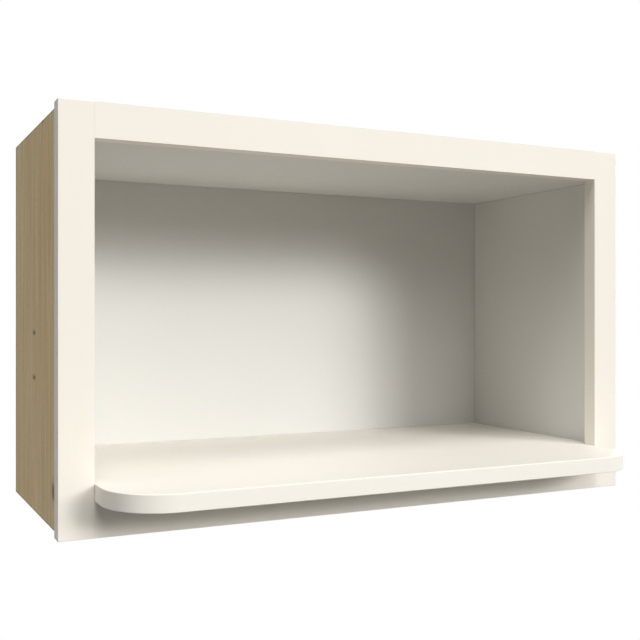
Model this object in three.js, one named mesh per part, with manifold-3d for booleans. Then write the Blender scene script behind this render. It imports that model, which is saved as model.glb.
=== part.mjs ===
// A wall cabinet with an open bay for a microwave oven. A face frame stands on the front of a case,
// and a thick shelf lies on the bottom of the case and reaches out through the frame, where its
// front corners are rounded. Nothing on it moves.
//
// Millimetres, +Z up, +X to the right of someone who faces the cabinet, +Y into the wall. The origin
// lies on the wall, in the middle of the upper hanging rail, by which the cabinet is screwed up.

import * as THREE from "three";
import { mergeVertices } from "three/addons/utils/BufferGeometryUtils.js";
import Module from "manifold-3d";

// ---------------------------------------------------------------- Driving dimensions

// Overall
const cabinetWidth = 762; // over the face frame
const cabinetHeight = 457.2;
const cabinetDepth = 304.8; // from the wall to the front of the face frame

// Face frame
const frameThickness = 19.05;
const stileWidth = 38.1;
const topRailHeight = 38.1;
const bottomRailHeight = 38.1;
const frameOverhang = 6.35; // the frame stands past each side by this much
const stileGrooveDepth = 4; // the groove in a stile's back that takes a side's front edge

// Case
const sideThickness = 12.7;
const topPanelThickness = 12.7;
const bottomPanelThickness = 12.7;
const housingDepth = 5; // the housings in the sides that take the ends of the two panels
const backThickness = 3.2;
const backGrooveDepth = 5; // the grooves in the sides that take the back
const hangingRailThickness = 9.5;
const upperRailHeight = 76.2;
const lowerRailHeight = 76.2;

// Glue blocks, in the corners between a side, a panel and the frame
const glueBlockLeg = 38.1;
const glueBlockThickness = 19.05;
const glueBlockBlunting = 5; // cut off the block's square corner, clear of the glue there

// Shelf
const shelfThickness = 19.05;
const shelfReach = 88.9; // in front of the face frame
const shelfCornerRadius = 63.5;
const shelfEasing = 1.2; // the rounding of its long edges

// Screws
const shankRadius = 2.1;
const pointLength = 6; // the tapered stretch at a screw's end
const headRadius = 4;
const panHeadHeight = 2.8;
const panHeadTopRadius = 2.6; // the flat round its drive
const flatHeadHeight = 2.4;
const flatHeadRim = 0.5; // the straight rim round a flat head
const driveAcross = 3.2; // the square drive, across its flats
const driveDepth = 1.7;
const pocketAngle = 15; // degrees between a frame screw and its rail
const pocketHeadCover = 1.2; // from a frame screw's head out to the back of its rail
const frameScrewBite = 17.5; // what goes into the stile
const shelfScrewBite = 12.7; // what goes into the shelf
const shelfScrewInset = 63.5; // from the inside of the case to the outer shelf screws
const backScrewBite = 22; // what goes into the edge of a panel
const backScrewInset = 57; // from a side to the outermost back screw
const backScrewSink = 0.4; // a back screw's head lies below the rail's rear face

// Counts
const screwsPerJoint = 2;
const shelfScrewColumns = 3;
const shelfScrewRows = 2;
const backScrewsPerRail = 4;

// Clearances
const glueLine = 0.1; // between boards that are glued face to face
const housingFit = 0.5; // from a board's edge to the bottom of its housing
const shelfFit = 0.4; // round the shelf
const screwFit = 0.3; // between a screw and its hole, all round
const pocketFit = 0.8; // between a frame screw's head and its pocket, all round
const drillPast = 5; // how far a cutter runs out through a face

// Fineness of round shapes
const screwSides = 16;
const cornerSteps = 20;
const easingSteps = 2;

// ---------------------------------------------------------------- Places that follow from them

const top = upperRailHeight / 2;
const bottom = top - cabinetHeight;
const frameFront = -cabinetDepth;
const frameBack = frameFront + frameThickness;
const frameMiddle = (frameFront + frameBack) / 2;
const frameEdge = cabinetWidth / 2;
const openingEdge = frameEdge - stileWidth;
const railEnd = openingEdge - glueLine;
const sideOuter = frameEdge - frameOverhang;
const sideInner = sideOuter - sideThickness;
const sideFront = frameBack - stileGrooveDepth + glueLine;
const panelFront = frameBack + glueLine;
const backRear = -hangingRailThickness - glueLine;
const backFront = backRear - backThickness;
const panelRear = backFront - glueLine;
const ceiling = top - topRailHeight;
const topPanelTop = ceiling + topPanelThickness;
const bayFloor = bottom + bottomRailHeight; // top of the bottom rail and of the bottom panel
const bottomPanelUnder = bayFloor - bottomPanelThickness;
const shelfUnder = bayFloor + glueLine;

// The frame screws cross each joint in the middle of the frame's thickness. Their heads lie as far
// from it as the slant leaves them room under the back of the rail.
const slant = THREE.MathUtils.degToRad(pocketAngle);
const headEdge = headRadius * Math.cos(slant);
const headDepth = frameThickness / 2 - pocketHeadCover - headEdge;
const pocketSeat = headDepth / Math.sin(slant) - panHeadHeight;
const pocketRadius = headRadius + pocketFit;

const SIDES = [
  { side: "left", sign: -1 },
  { side: "right", sign: 1 },
];
const up = new THREE.Vector3(0, 0, 1);
const forward = new THREE.Vector3(0, -1, 0);

// ---------------------------------------------------------------- Finishes

const finish = (color, roughness, metalness = 0) =>
  new THREE.MeshStandardMaterial({ color, roughness, metalness, flatShading: true });

const creamPaint = finish(0xf1ebdf, 0.45);
const mapleBoard = finish(0xc3a67b, 0.55);
const rawBoard = finish(0xbd9a6a, 0.8);
const rawPine = finish(0xd3b27c, 0.8);
const zincSteel = finish(0xb9b7ae, 0.35, 0.9);

// ---------------------------------------------------------------- Solids, cuts and meshes

const wasm = await Module();
wasm.setup();

// A closed geometry as a solid that can be cut.
function toSolid(geometry) {
  const bare = geometry.clone();
  bare.deleteAttribute("normal");
  bare.deleteAttribute("uv");
  const merged = mergeVertices(bare, 1e-4);
  const vertProperties = merged.attributes.position.array;
  const triVerts = new Uint32Array(merged.index.array);
  return new wasm.Manifold(new wasm.Mesh({ numProp: 3, vertProperties, triVerts }));
}

// A geometry with each of the cutters taken away from it.
function cut(geometry, cutters) {
  const solid = cutters.reduce((left, cutter) => left.subtract(toSolid(cutter)), toSolid(geometry));
  const { vertProperties, triVerts } = solid.getMesh();
  const result = new THREE.BufferGeometry();
  result.setAttribute("position", new THREE.BufferAttribute(vertProperties, 3));
  result.setIndex(new THREE.BufferAttribute(triVerts, 1));
  return result;
}

// A block that fills three ranges.
function block([x0, x1], [y0, y1], [z0, z1]) {
  const geometry = new THREE.BoxGeometry(Math.abs(x1 - x0), y1 - y0, z1 - z0);
  return geometry.translate((x0 + x1) / 2, (y0 + y1) / 2, (z0 + z1) / 2);
}

// A named mesh that stands at the middle of its geometry, which was drawn in the cabinet's frame.
function piece(name, geometry, material) {
  geometry.computeBoundingBox();
  const middle = geometry.boundingBox.getCenter(new THREE.Vector3());
  const mesh = new THREE.Mesh(geometry.translate(-middle.x, -middle.y, -middle.z), material);
  mesh.name = name;
  mesh.position.copy(middle);
  return mesh;
}

// The places of count copies, each in the middle of its share of the way.
function spread(from, to, count) {
  return Array.from({ length: count }, (_, i) => from + ((to - from) * (i + 0.5)) / count);
}

// The places of count copies, with the first and the last at the ends. One alone is in the middle.
function spreadToEnds(from, to, count) {
  if (count === 1) return [(from + to) / 2];
  return Array.from({ length: count }, (_, i) => from + ((to - from) * i) / (count - 1));
}

// ---------------------------------------------------------------- Screws and their holes

// A turned shape on +Y, from its profile of [radius, distance along the axis].
const turned = (profile) =>
  new THREE.LatheGeometry(
    profile.map(([radius, along]) => new THREE.Vector2(radius, along)),
    screwSides,
  );

// A screw that is driven along +Y, with the seat of its head at 0 and the square drive cut into it.
function screwGeometry(length, head) {
  const shank = [
    [shankRadius, length - pointLength],
    [0, length],
  ];
  const drive = block(
    [-driveAcross / 2, driveAcross / 2],
    [head.outerFace - drillPast, head.outerFace + driveDepth],
    [-driveAcross / 2, driveAcross / 2],
  );
  return cut(turned([...head.profile, ...shank]), [drive]);
}

// A domed head that bears on the face, above its seat.
const panHead = {
  outerFace: -panHeadHeight,
  profile: [
    [0, -panHeadHeight],
    [panHeadTopRadius, -panHeadHeight],
    [headRadius, -panHeadHeight / 2],
    [headRadius, 0],
    [shankRadius, 0],
  ],
};

// A flat head that is let in, with its outer face at its seat.
const flatHead = {
  outerFace: 0,
  profile: [
    [0, 0],
    [headRadius, 0],
    [headRadius, flatHeadRim],
    [shankRadius, flatHeadHeight],
  ],
};

// A round cutter on a screw's axis between two distances from its seat, straight or tapered.
function holeOn(screw, from, to, radiusFrom, radiusTo = radiusFrom) {
  const cutter = turned([
    [0, from],
    [radiusFrom, from],
    [radiusTo, to],
    [0, to],
  ]);
  return cutter.applyQuaternion(turnTo(screw.direction)).translate(...screw.seat.toArray());
}

// The hole round a screw's shank, open at its seat.
const shankHole = (screw) =>
  holeOn(screw, -drillPast, screw.length + screwFit, shankRadius + screwFit);

// The turn that takes +Y to a direction.
const turnTo = (direction) =>
  new THREE.Quaternion().setFromUnitVectors(new THREE.Vector3(0, 1, 0), direction);

// A screw's mesh, turned to the way that it is driven.
function screwMesh({ name, seat, direction, length, head }) {
  const mesh = new THREE.Mesh(screwGeometry(length, head), zincSteel);
  mesh.name = name;
  mesh.position.copy(seat);
  mesh.quaternion.copy(turnTo(direction));
  return mesh;
}

// Frame screws go from a pocket in a rail's back, at a slant, through its end into the stile.
function frameScrewsOf(rail, low, high) {
  return SIDES.flatMap(({ side, sign }) =>
    spread(low, high, screwsPerJoint).map((z, i) => {
      const direction = new THREE.Vector3(sign * Math.cos(slant), -Math.sin(slant), 0);
      const joint = new THREE.Vector3(sign * openingEdge, frameMiddle, z);
      return {
        name: `${rail}_rail_${side}_screw_${i + 1}`,
        rail,
        side,
        direction,
        seat: joint.addScaledVector(direction, -pocketSeat),
        length: pocketSeat + frameScrewBite,
        head: panHead,
      };
    }),
  );
}

// The pocket runs from the screw's seat out through the rail's back.
function pocketOf(screw) {
  const mouth = (frameThickness / 2 + pocketRadius) / Math.sin(slant) - pocketSeat;
  return holeOn(screw, -mouth - drillPast, screwFit, pocketRadius);
}

// Shelf screws go up through the bottom panel into the shelf.
function shelfScrews() {
  const columns = spreadToEnds(
    -sideInner + shelfScrewInset,
    sideInner - shelfScrewInset,
    shelfScrewColumns,
  );
  const rows = spreadToEnds(
    panelFront + shelfScrewInset,
    panelRear - shelfScrewInset,
    shelfScrewRows,
  );
  return rows.flatMap((y, row) =>
    columns.map((x, column) => ({
      name: `shelf_screw_${row * shelfScrewColumns + column + 1}`,
      direction: up,
      seat: new THREE.Vector3(x, y, bottomPanelUnder - glueLine),
      length: bottomPanelThickness + 2 * glueLine + shelfScrewBite,
      head: panHead,
    })),
  );
}

// Back screws go forward through a hanging rail and the back into the rear edge of a panel.
function backScrews(rail, z) {
  const reach = sideInner - backScrewInset;
  return spreadToEnds(-reach, reach, backScrewsPerRail).map((x, i) => ({
    name: `${rail}_back_screw_${i + 1}`,
    direction: forward,
    seat: new THREE.Vector3(x, -backScrewSink, z),
    length: hangingRailThickness + backThickness + backScrewBite,
    head: flatHead,
  }));
}

// The countersink of a flat head is a straight mouth and a taper.
function countersinkOf(screw) {
  const mouthRadius = headRadius + screwFit;
  return [
    holeOn(screw, -drillPast, flatHeadRim, mouthRadius),
    holeOn(screw, flatHeadRim, flatHeadHeight, mouthRadius, shankRadius + screwFit),
  ];
}

// ---------------------------------------------------------------- Face frame

// Two stiles, each with a groove for its side, and the two rails between them.
function faceFrame(frameScrews) {
  const frame = new THREE.Group();
  for (const { side, sign } of SIDES) {
    const blank = block(
      [sign * openingEdge, sign * frameEdge],
      [frameFront, frameBack],
      [bottom, top],
    );
    const groove = block(
      [sign * (sideInner - glueLine), sign * (sideOuter + glueLine)],
      [frameBack - stileGrooveDepth, frameBack + drillPast],
      [bottom - drillPast, top + drillPast],
    );
    const pilots = frameScrews.filter((screw) => screw.side === side).map(shankHole);
    frame.add(piece(`${side}_stile`, cut(blank, [groove, ...pilots]), creamPaint));
  }
  for (const { rail, low, high } of [
    { rail: "top", low: ceiling, high: top },
    { rail: "bottom", low: bottom, high: bayFloor },
  ]) {
    const blank = block([-railEnd, railEnd], [frameFront, frameBack], [low, high]);
    const own = frameScrews.filter((screw) => screw.rail === rail);
    const cutters = own.flatMap((screw) => [pocketOf(screw), shankHole(screw)]);
    frame.add(piece(`${rail}_rail`, cut(blank, cutters), creamPaint));
  }
  return frame;
}

// ---------------------------------------------------------------- Case

// A side, with its housings for the two panels and its groove for the back.
function caseSide({ side, sign }) {
  const blank = block([sign * sideInner, sign * sideOuter], [sideFront, 0], [bottom, top]);
  const housing = (low, high) =>
    block(
      [sign * (sideInner - drillPast), sign * (sideInner + housingDepth)],
      [sideFront - drillPast, backFront],
      [low - glueLine, high + glueLine],
    );
  const backGroove = block(
    [sign * (sideInner - drillPast), sign * (sideInner + backGrooveDepth)],
    [backFront - glueLine, backRear + glueLine],
    [bottom - drillPast, top + drillPast],
  );
  const cutters = [
    housing(ceiling, topPanelTop),
    housing(bottomPanelUnder, bayFloor),
    backGroove,
  ];
  return piece(`${side}_side`, cut(blank, cutters), mapleBoard);
}

// The sides, the top and bottom panels, the back and the two rails that hang the case.
function caseOf(shelfScrewList, upperScrews, lowerScrews) {
  const group = new THREE.Group();
  group.add(...SIDES.map(caseSide));

  const panelEnd = sideInner + housingDepth - housingFit;
  const panel = (name, low, high, cutters) => {
    const blank = block([-panelEnd, panelEnd], [panelFront, panelRear], [low, high]);
    return piece(name, cut(blank, cutters), mapleBoard);
  };
  group.add(
    panel("top_panel", ceiling, topPanelTop, upperScrews.map(shankHole)),
    panel("bottom_panel", bottomPanelUnder, bayFloor, [
      ...lowerScrews.map(shankHole),
      ...shelfScrewList.map(shankHole),
    ]),
  );

  const backEnd = sideInner + backGrooveDepth - housingFit;
  const back = block([-backEnd, backEnd], [backFront, backRear], [bottom, top]);
  const throughBack = [...upperScrews, ...lowerScrews].map(shankHole);
  group.add(piece("back_panel", cut(back, throughBack), rawBoard));

  const railLimit = sideInner - glueLine;
  const hangingRail = (name, low, high, screws) => {
    const blank = block([-railLimit, railLimit], [-hangingRailThickness, 0], [low, high]);
    const cutters = screws.flatMap((screw) => [shankHole(screw), ...countersinkOf(screw)]);
    return piece(name, cut(blank, cutters), rawPine);
  };
  group.add(
    hangingRail("upper_hanging_rail", top - upperRailHeight, top, upperScrews),
    hangingRail("lower_hanging_rail", bottom, bottom + lowerRailHeight, lowerScrews),
  );
  return group;
}

// A three-cornered block between a side and the back of the frame, glued to the panel's outer face.
function glueBlock({ side, sign }, level, low) {
  const corner = new THREE.Vector2(sideInner - glueLine, panelFront);
  const outline = [
    [glueBlockBlunting, 0],
    [glueBlockLeg, 0],
    [0, glueBlockLeg],
    [0, glueBlockBlunting],
  ].map(([inward, rearward]) => new THREE.Vector2(corner.x - inward, corner.y + rearward));
  const shape = new THREE.Shape(outline.map(({ x, y }) => new THREE.Vector2(sign * x, y)));
  const geometry = new THREE.ExtrudeGeometry(shape, {
    depth: glueBlockThickness,
    bevelEnabled: false,
  });
  return piece(`${level}_${side}_glue_block`, geometry.translate(0, 0, low), rawPine);
}

// ---------------------------------------------------------------- Shelf

// The shelf's outline fills the case, passes between the stiles and ends in two rounded corners.
function shelfOutline() {
  const rear = backFront - shelfFit;
  const shoulder = frameBack + shelfFit;
  const wide = sideInner - shelfFit;
  const narrow = openingEdge - shelfFit;
  const front = frameFront - shelfReach;
  const turn = front + shelfCornerRadius;
  const across = narrow - shelfCornerRadius;
  const shape = new THREE.Shape();
  shape.moveTo(-wide, rear);
  shape.lineTo(-wide, shoulder);
  shape.lineTo(-narrow, shoulder);
  shape.lineTo(-narrow, turn);
  shape.absarc(-across, turn, shelfCornerRadius, Math.PI, 1.5 * Math.PI);
  shape.absarc(across, turn, shelfCornerRadius, 1.5 * Math.PI, 2 * Math.PI);
  shape.lineTo(narrow, shoulder);
  shape.lineTo(wide, shoulder);
  shape.lineTo(wide, rear);
  return shape;
}

// The board has eased long edges and pilot holes for its screws.
function shelf(screws) {
  const board = new THREE.ExtrudeGeometry(shelfOutline(), {
    depth: shelfThickness - 2 * shelfEasing,
    bevelThickness: shelfEasing,
    bevelSize: shelfEasing,
    bevelOffset: -shelfEasing,
    bevelSegments: easingSteps,
    curveSegments: cornerSteps,
  });
  board.translate(0, 0, shelfUnder + shelfEasing);
  return piece("microwave_shelf", cut(board, screws.map(shankHole)), creamPaint);
}

// ---------------------------------------------------------------- Assembly

const frameScrews = [
  ...frameScrewsOf("top", ceiling, top),
  ...frameScrewsOf("bottom", bottom, bayFloor),
];
const shelfScrewList = shelfScrews();
const upperScrews = backScrews("upper", (ceiling + topPanelTop) / 2);
const lowerScrews = backScrews("lower", (bottomPanelUnder + bayFloor) / 2);

const glueBlocks = new THREE.Group();
for (const place of SIDES) {
  glueBlocks.add(glueBlock(place, "upper", topPanelTop + glueLine));
  glueBlocks.add(glueBlock(place, "lower", bottomPanelUnder - glueLine - glueBlockThickness));
}

const screws = new THREE.Group();
screws.add(...[...frameScrews, ...shelfScrewList, ...upperScrews, ...lowerScrews].map(screwMesh));

const cabinet = new THREE.Group();
cabinet.add(
  faceFrame(frameScrews),
  caseOf(shelfScrewList, upperScrews, lowerScrews),
  glueBlocks,
  shelf(shelfScrewList),
  screws,
);

export default cabinet;
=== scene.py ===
"""The looks of a wall cabinet with an open bay for a microwave oven.

Everything is in metres, in the cabinet's own frame: +X to the right of someone who faces it, +Y
into the wall and +Z up. The origin lies on the wall, in the middle of the upper hanging rail. Each
board keeps the outline of its solid, and gets eased edges and a finish for each of its faces. The
shelf, the screws and the dried glue grow from geometry node trees. Each sub-assembly is a class,
and main() makes them in order.
"""

from __future__ import annotations

import logging
import math
from dataclasses import dataclass, field, replace
from enum import Enum
from typing import Any, Callable, Iterable

import bmesh
import bpy
from mathutils import Euler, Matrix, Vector


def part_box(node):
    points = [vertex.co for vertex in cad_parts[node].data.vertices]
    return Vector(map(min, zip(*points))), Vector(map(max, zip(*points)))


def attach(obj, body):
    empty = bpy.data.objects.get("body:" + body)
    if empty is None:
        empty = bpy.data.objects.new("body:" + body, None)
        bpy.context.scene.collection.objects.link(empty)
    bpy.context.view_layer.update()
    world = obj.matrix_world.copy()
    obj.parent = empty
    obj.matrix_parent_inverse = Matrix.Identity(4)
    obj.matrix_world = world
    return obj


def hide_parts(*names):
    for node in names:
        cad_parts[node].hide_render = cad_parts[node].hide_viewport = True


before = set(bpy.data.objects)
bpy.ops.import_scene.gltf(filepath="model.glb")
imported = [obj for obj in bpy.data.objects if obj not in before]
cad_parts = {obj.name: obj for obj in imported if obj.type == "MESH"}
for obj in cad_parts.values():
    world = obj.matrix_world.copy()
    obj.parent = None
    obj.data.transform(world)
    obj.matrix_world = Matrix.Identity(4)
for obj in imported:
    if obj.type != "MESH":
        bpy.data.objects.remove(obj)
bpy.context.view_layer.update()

BODY = "root"
PICTURE_WIDTH = 640
MM = 0.001
SMALL = 1e-6
WELD_DISTANCE = 2e-6
# The least cosine between a face's normal and the facing that it belongs to.
ALIGNED = 0.99
# In degrees: faces are one flat below the first, and edges stay sharp past the others.
FLAT_ANGLE = 1.0
SMOOTH_ANGLE = 31.0
TURNED_SMOOTH_ANGLE = 35.0
BEAD_SMOOTH_ANGLE = 60.0
Triple = tuple[float, float, float]

log = logging.getLogger("cabinet")


# ---------------------------------------------------------------- Named choices


class Slot(Enum):
    """The material slots."""

    CREAM_PAINT = "cream_paint"
    MAPLE_BOARD = "maple_board"
    LINED_BACK = "lined_back"
    RAW_PINE = "raw_pine"
    ZINC_STEEL = "zinc_steel"


class Facing(Enum):
    """The ways that a board's flat faces look."""

    LEFT = (-1, 0, 0)
    RIGHT = (1, 0, 0)
    FRONT = (0, -1, 0)
    UP = (0, 0, 1)
    DOWN = (0, 0, -1)


class Grain(Enum):
    """The way that a board's grain runs, as the turn that brings it upright."""

    UPRIGHT = (0, 0, 0)
    ACROSS = (0, math.pi / 2, 0)


class Side(Enum):
    """The two mirrored halves, by the sign of X."""

    LEFT = -1
    RIGHT = 1

    @property
    def word(self) -> str:
        """The side's name as the nodes spell it."""
        return self.name.lower()


class Level(Enum):
    """The two ends of the cabinet's height, as the nodes spell them."""

    UPPER = "upper"
    LOWER = "lower"


class Tree(Enum):
    """What a node group is for: an effect in a material, or the growth of a shape."""

    EFFECT = "ShaderNodeTree"
    SHAPE = "GeometryNodeTree"


class Socket(Enum):
    """The kinds of a node group's inputs and outputs."""

    NUMBER = "NodeSocketFloat"
    COUNT = "NodeSocketInt"
    VECTOR = "NodeSocketVector"
    SHAPE = "NodeSocketGeometry"
    MATERIAL = "NodeSocketMaterial"


# ---------------------------------------------------------------- Node trees


class NodeSketch:
    """Adds nodes to a shader tree or a geometry tree, and fills or joins their sockets."""

    def __init__(self, tree: bpy.types.NodeTree) -> None:
        """Starts on a tree, which may hold nodes already."""
        self.tree = tree

    def add(self, kind: str, inputs: dict[str | int, Any] | None = None, **settings: Any) -> Any:
        """Adds one node.

        Args:
            kind: The node's type.
            inputs: A value, or a socket to join, for each input by its name or number.
            settings: The node's own properties.

        Returns:
            The node.
        """
        node = self.tree.nodes.new(kind)
        for name, value in settings.items():
            setattr(node, name, value)
        for key, value in (inputs or {}).items():
            self.feed(node.inputs[key], value)
        return node

    def out(self, kind: str, inputs: dict[str | int, Any] | None = None, **settings: Any) -> Any:
        """Adds one node as add() does, and gives the socket of its first output."""
        return self.add(kind, inputs, **settings).outputs[0]

    def feed(self, socket: bpy.types.NodeSocket, value: Any) -> None:
        """Joins a socket to another one, or sets its value.

        Args:
            socket: The input.
            value: The other socket, or the value.
        """
        if isinstance(value, bpy.types.NodeSocket):
            self.tree.links.new(value, socket)
        else:
            socket.default_value = value

    def effect(self, group: bpy.types.NodeTree, inputs: dict[str | int, Any]) -> Any:
        """Places a shared effect and gives its outputs."""
        return self.add("ShaderNodeGroup", inputs, node_tree=group).outputs

    def math(self, operation: str, *values: Any) -> Any:
        """Adds a Math node and gives its result."""
        return self.out("ShaderNodeMath", dict(enumerate(values)), operation=operation)

    def times(self, value: Any, factor: Any) -> Any:
        """Multiplies two numbers."""
        return self.math("MULTIPLY", value, factor)

    def line(self, value: Any, slope: Any, start: Any) -> Any:
        """Multiplies a number by a slope and adds a start."""
        return self.math("MULTIPLY_ADD", value, slope, start)

    def vector_math(self, operation: str, *vectors: Any) -> Any:
        """Adds a Vector Math node and gives its result, which for a length is a number."""
        node = self.add("ShaderNodeVectorMath", dict(enumerate(vectors)), operation=operation)
        return node.outputs["Value" if operation == "LENGTH" else "Vector"]

    def vector(self, x: Any = 0.0, y: Any = 0.0, z: Any = 0.0) -> Any:
        """Joins three numbers into a vector."""
        return self.out("ShaderNodeCombineXYZ", {0: x, 1: y, 2: z})

    def apart(self, vector: Any) -> Any:
        """Takes a vector apart into its three numbers."""
        return self.add("ShaderNodeSeparateXYZ", {0: vector}).outputs

    def turned(self, vector: Any, grain: Grain) -> Any:
        """Turns coordinates so that the grain stands upright."""
        return self.out("ShaderNodeMapping", {"Vector": vector, "Rotation": grain.value})

    def scaled(self, vector: Any, x: float = 1.0, y: float = 1.0, z: float = 1.0) -> Any:
        """Multiplies coordinates, each axis by its own number."""
        return self.out("ShaderNodeMapping", {"Vector": vector, "Scale": (x, y, z)})

    def noise(self, vector: Any, scale: Any, detail: float = 2.0, **inputs: Any) -> Any:
        """Adds a noise texture of so many waves to the metre, with so many finer layers."""
        known = {"Vector": vector, "Scale": scale, "Detail": detail, **inputs}
        return self.out("ShaderNodeTexNoise", known)

    def between(self, value: Any, low: float, high: float, smooth: bool = True) -> Any:
        """Turns a value's way from low to high into 0 to 1.

        Args:
            value: The value.
            low: The value that gives 0. It may be the larger one.
            high: The value that gives 1.
            smooth: Whether it leaves 0 and reaches 1 softly.

        Returns:
            The result, held between 0 and 1.
        """
        kind = "SMOOTHSTEP" if smooth else "LINEAR"
        ends = (high, low, 1.0, 0.0) if low > high else (low, high, 0.0, 1.0)
        inputs = {0: value} | dict(enumerate(ends, start=1))
        return self.out("ShaderNodeMapRange", inputs, interpolation_type=kind)

    def blend(self, factor: Any, low: Any, high: Any, mode: str = "MIX") -> Any:
        """Mixes two colours, by a factor that is 0 for the low one and 1 for the high one."""
        inputs = {"Factor": factor, 6: opaque(low), 7: opaque(high)}
        return self.add("ShaderNodeMix", inputs, data_type="RGBA", blend_type=mode).outputs[2]

    def laid(self, color: Any, coat: Any, mask: Any, depth: float) -> Any:
        """Lays a coat on a colour by a mask. The depth is how much of it shows at most."""
        return self.blend(self.times(mask, depth), color, coat)

    def listed(self, kind: str, values: list[Any]) -> Any:
        """Gives each point its own value from a list.

        Args:
            kind: The values' type.
            values: The values in the order of the points.

        Returns:
            The value at the point.
        """
        index = {"Index": self.out("GeometryNodeInputIndex")}
        switch = self.add("GeometryNodeIndexSwitch", index, data_type=kind)
        # A switch starts with two items.
        for _ in values[2:]:
            switch.index_switch_items.new()
        for number, value in enumerate(values, start=1):
            self.feed(switch.inputs[number], value)
        return switch.outputs[0]

    def circle(self, sides: Any, radius: Any = 1.0) -> Any:
        """Draws a circle of a few straight sides."""
        return self.out("GeometryNodeCurvePrimitiveCircle", {"Resolution": sides, "Radius": radius})

    def swept(self, curve: Any, profile: Any, scale: Any = 1.0) -> Any:
        """Sweeps a profile along a curve into a closed body."""
        inputs = {"Curve": curve, "Profile Curve": profile, "Scale": scale, "Fill Caps": True}
        return self.out("GeometryNodeCurveToMesh", inputs)

    def lifted(self, shape: Any, height: Any) -> Any:
        """Moves a shape up."""
        inputs = {"Geometry": shape, "Translation": self.vector(z=height)}
        return self.out("GeometryNodeTransform", inputs)

    def giving(self, kind: Socket, results: dict[str, Any]) -> bpy.types.NodeTree:
        """Ends a group with an output for each result.

        Args:
            kind: What the results are.
            results: Each one's socket by its name.

        Returns:
            The group.
        """
        for title in results:
            self.tree.interface.new_socket(title, in_out="OUTPUT", socket_type=kind.value)
        self.add("NodeGroupOutput", results)
        return self.tree

    def growing(self, shape: Any, material: Any) -> bpy.types.NodeTree:
        """Ends a geometry tree: its instances are made real and its faces get their material.

        Args:
            shape: What the tree made.
            material: The material.

        Returns:
            The tree.
        """
        real = self.out("GeometryNodeRealizeInstances", {"Geometry": shape})
        inputs = {"Geometry": real, "Material": material}
        return self.giving(Socket.SHAPE, {"Geometry": self.out("GeometryNodeSetMaterial", inputs)})


def opaque(color: Any) -> Any:
    """Adds the fourth number to a colour. A socket stays as it is."""
    return color if isinstance(color, bpy.types.NodeSocket) else (*color, 1.0)


def new_group(name: str, kind: Tree, inputs: dict[str, Any]) -> tuple[NodeSketch, Any]:
    """Makes a node group with its named inputs.

    Args:
        name: The group's name.
        kind: What it is for.
        inputs: The number that each input starts with, or its kind where it has none.

    Returns:
        A sketch of the group, and the sockets of its inputs.
    """
    tree = bpy.data.node_groups.new(name, kind.value)
    for title, start in inputs.items():
        number_kind = Socket.COUNT if isinstance(start, int) else Socket.NUMBER
        socket_kind = start if isinstance(start, Socket) else number_kind
        socket = tree.interface.new_socket(title, in_out="INPUT", socket_type=socket_kind.value)
        if socket_kind is number_kind:
            socket.default_value = start
    s = NodeSketch(tree)
    return s, s.add("NodeGroupInput").outputs


def shape_tree(name: str, sizes: dict[str, Any]) -> tuple[NodeSketch, Any]:
    """Makes a geometry tree with an input for each size and for the material, as a group."""
    inputs = {"Geometry": Socket.SHAPE} | sizes | {"Material": Socket.MATERIAL}
    return new_group(name, Tree.SHAPE, inputs)


# ---------------------------------------------------------------- Shared effects


def paint_film_group() -> bpy.types.NodeTree:
    """Sprayed paint: a drift in tone, the wood's grain just told through it, and its fine peel.

    Returns:
        The group.
    """
    inputs = {"Vector": Socket.VECTOR, "Peel Scale": 700.0, "Grain Scale": 900.0}
    s, given = new_group("paint_film", Tree.EFFECT, inputs)
    place = given["Vector"]
    drift = s.noise(place, scale=4.0, detail=3.0)
    peel = s.noise(place, given["Peel Scale"], detail=1.0)
    grain = s.noise(s.scaled(place, z=0.02), given["Grain Scale"])
    grain_tone, grain_height = 0.25, 0.35
    results = {
        "Tone": s.line(grain, grain_tone, s.times(drift, 1.0 - grain_tone)),
        "Height": s.line(grain, grain_height, peel),
        "Gloss": s.noise(place, scale=35.0, detail=4.0),
    }
    return s.giving(Socket.NUMBER, results)


def wood_figure_group() -> bpy.types.NodeTree:
    """Wood with upright grain: broad soft streaks, wandering growth lines, flecks and mottle.

    Returns:
        The group.
    """
    inputs = {"Vector": Socket.VECTOR, "Streak Scale": 30.0, "Line Scale": 160.0}
    inputs |= {"Fleck Scale": 1400.0, "Wander": 0.012, "Shortness": 0.14}
    s, given = new_group("wood_figure", Tree.EFFECT, inputs)
    sway = s.noise(s.scaled(given["Vector"], z=0.35), scale=9.0)
    shift = s.times(s.math("SUBTRACT", sway, 0.5), given["Wander"])
    moved = s.vector_math("ADD", given["Vector"], s.vector(shift, shift))
    drawn = s.vector_math("MULTIPLY", moved, s.vector(1.0, 1.0, given["Shortness"]))
    lines = s.noise(s.scaled(moved, z=0.025), given["Line Scale"], detail=5.0, Roughness=0.65)
    flecks = s.noise(s.scaled(moved, z=0.12), given["Fleck Scale"], detail=1.0)
    mottle = s.noise(s.scaled(moved, z=1.8), scale=90.0, detail=3.0, Roughness=0.6)
    fleck_height = 0.6
    results = {
        "Streaks": s.noise(drawn, given["Streak Scale"], detail=5.0, Roughness=0.65),
        "Lines": lines,
        "Flecks": s.between(flecks, low=0.6, high=0.75),
        "Mottle": mottle,
        "Height": s.line(flecks, fleck_height, lines),
    }
    return s.giving(Socket.NUMBER, results)


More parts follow.
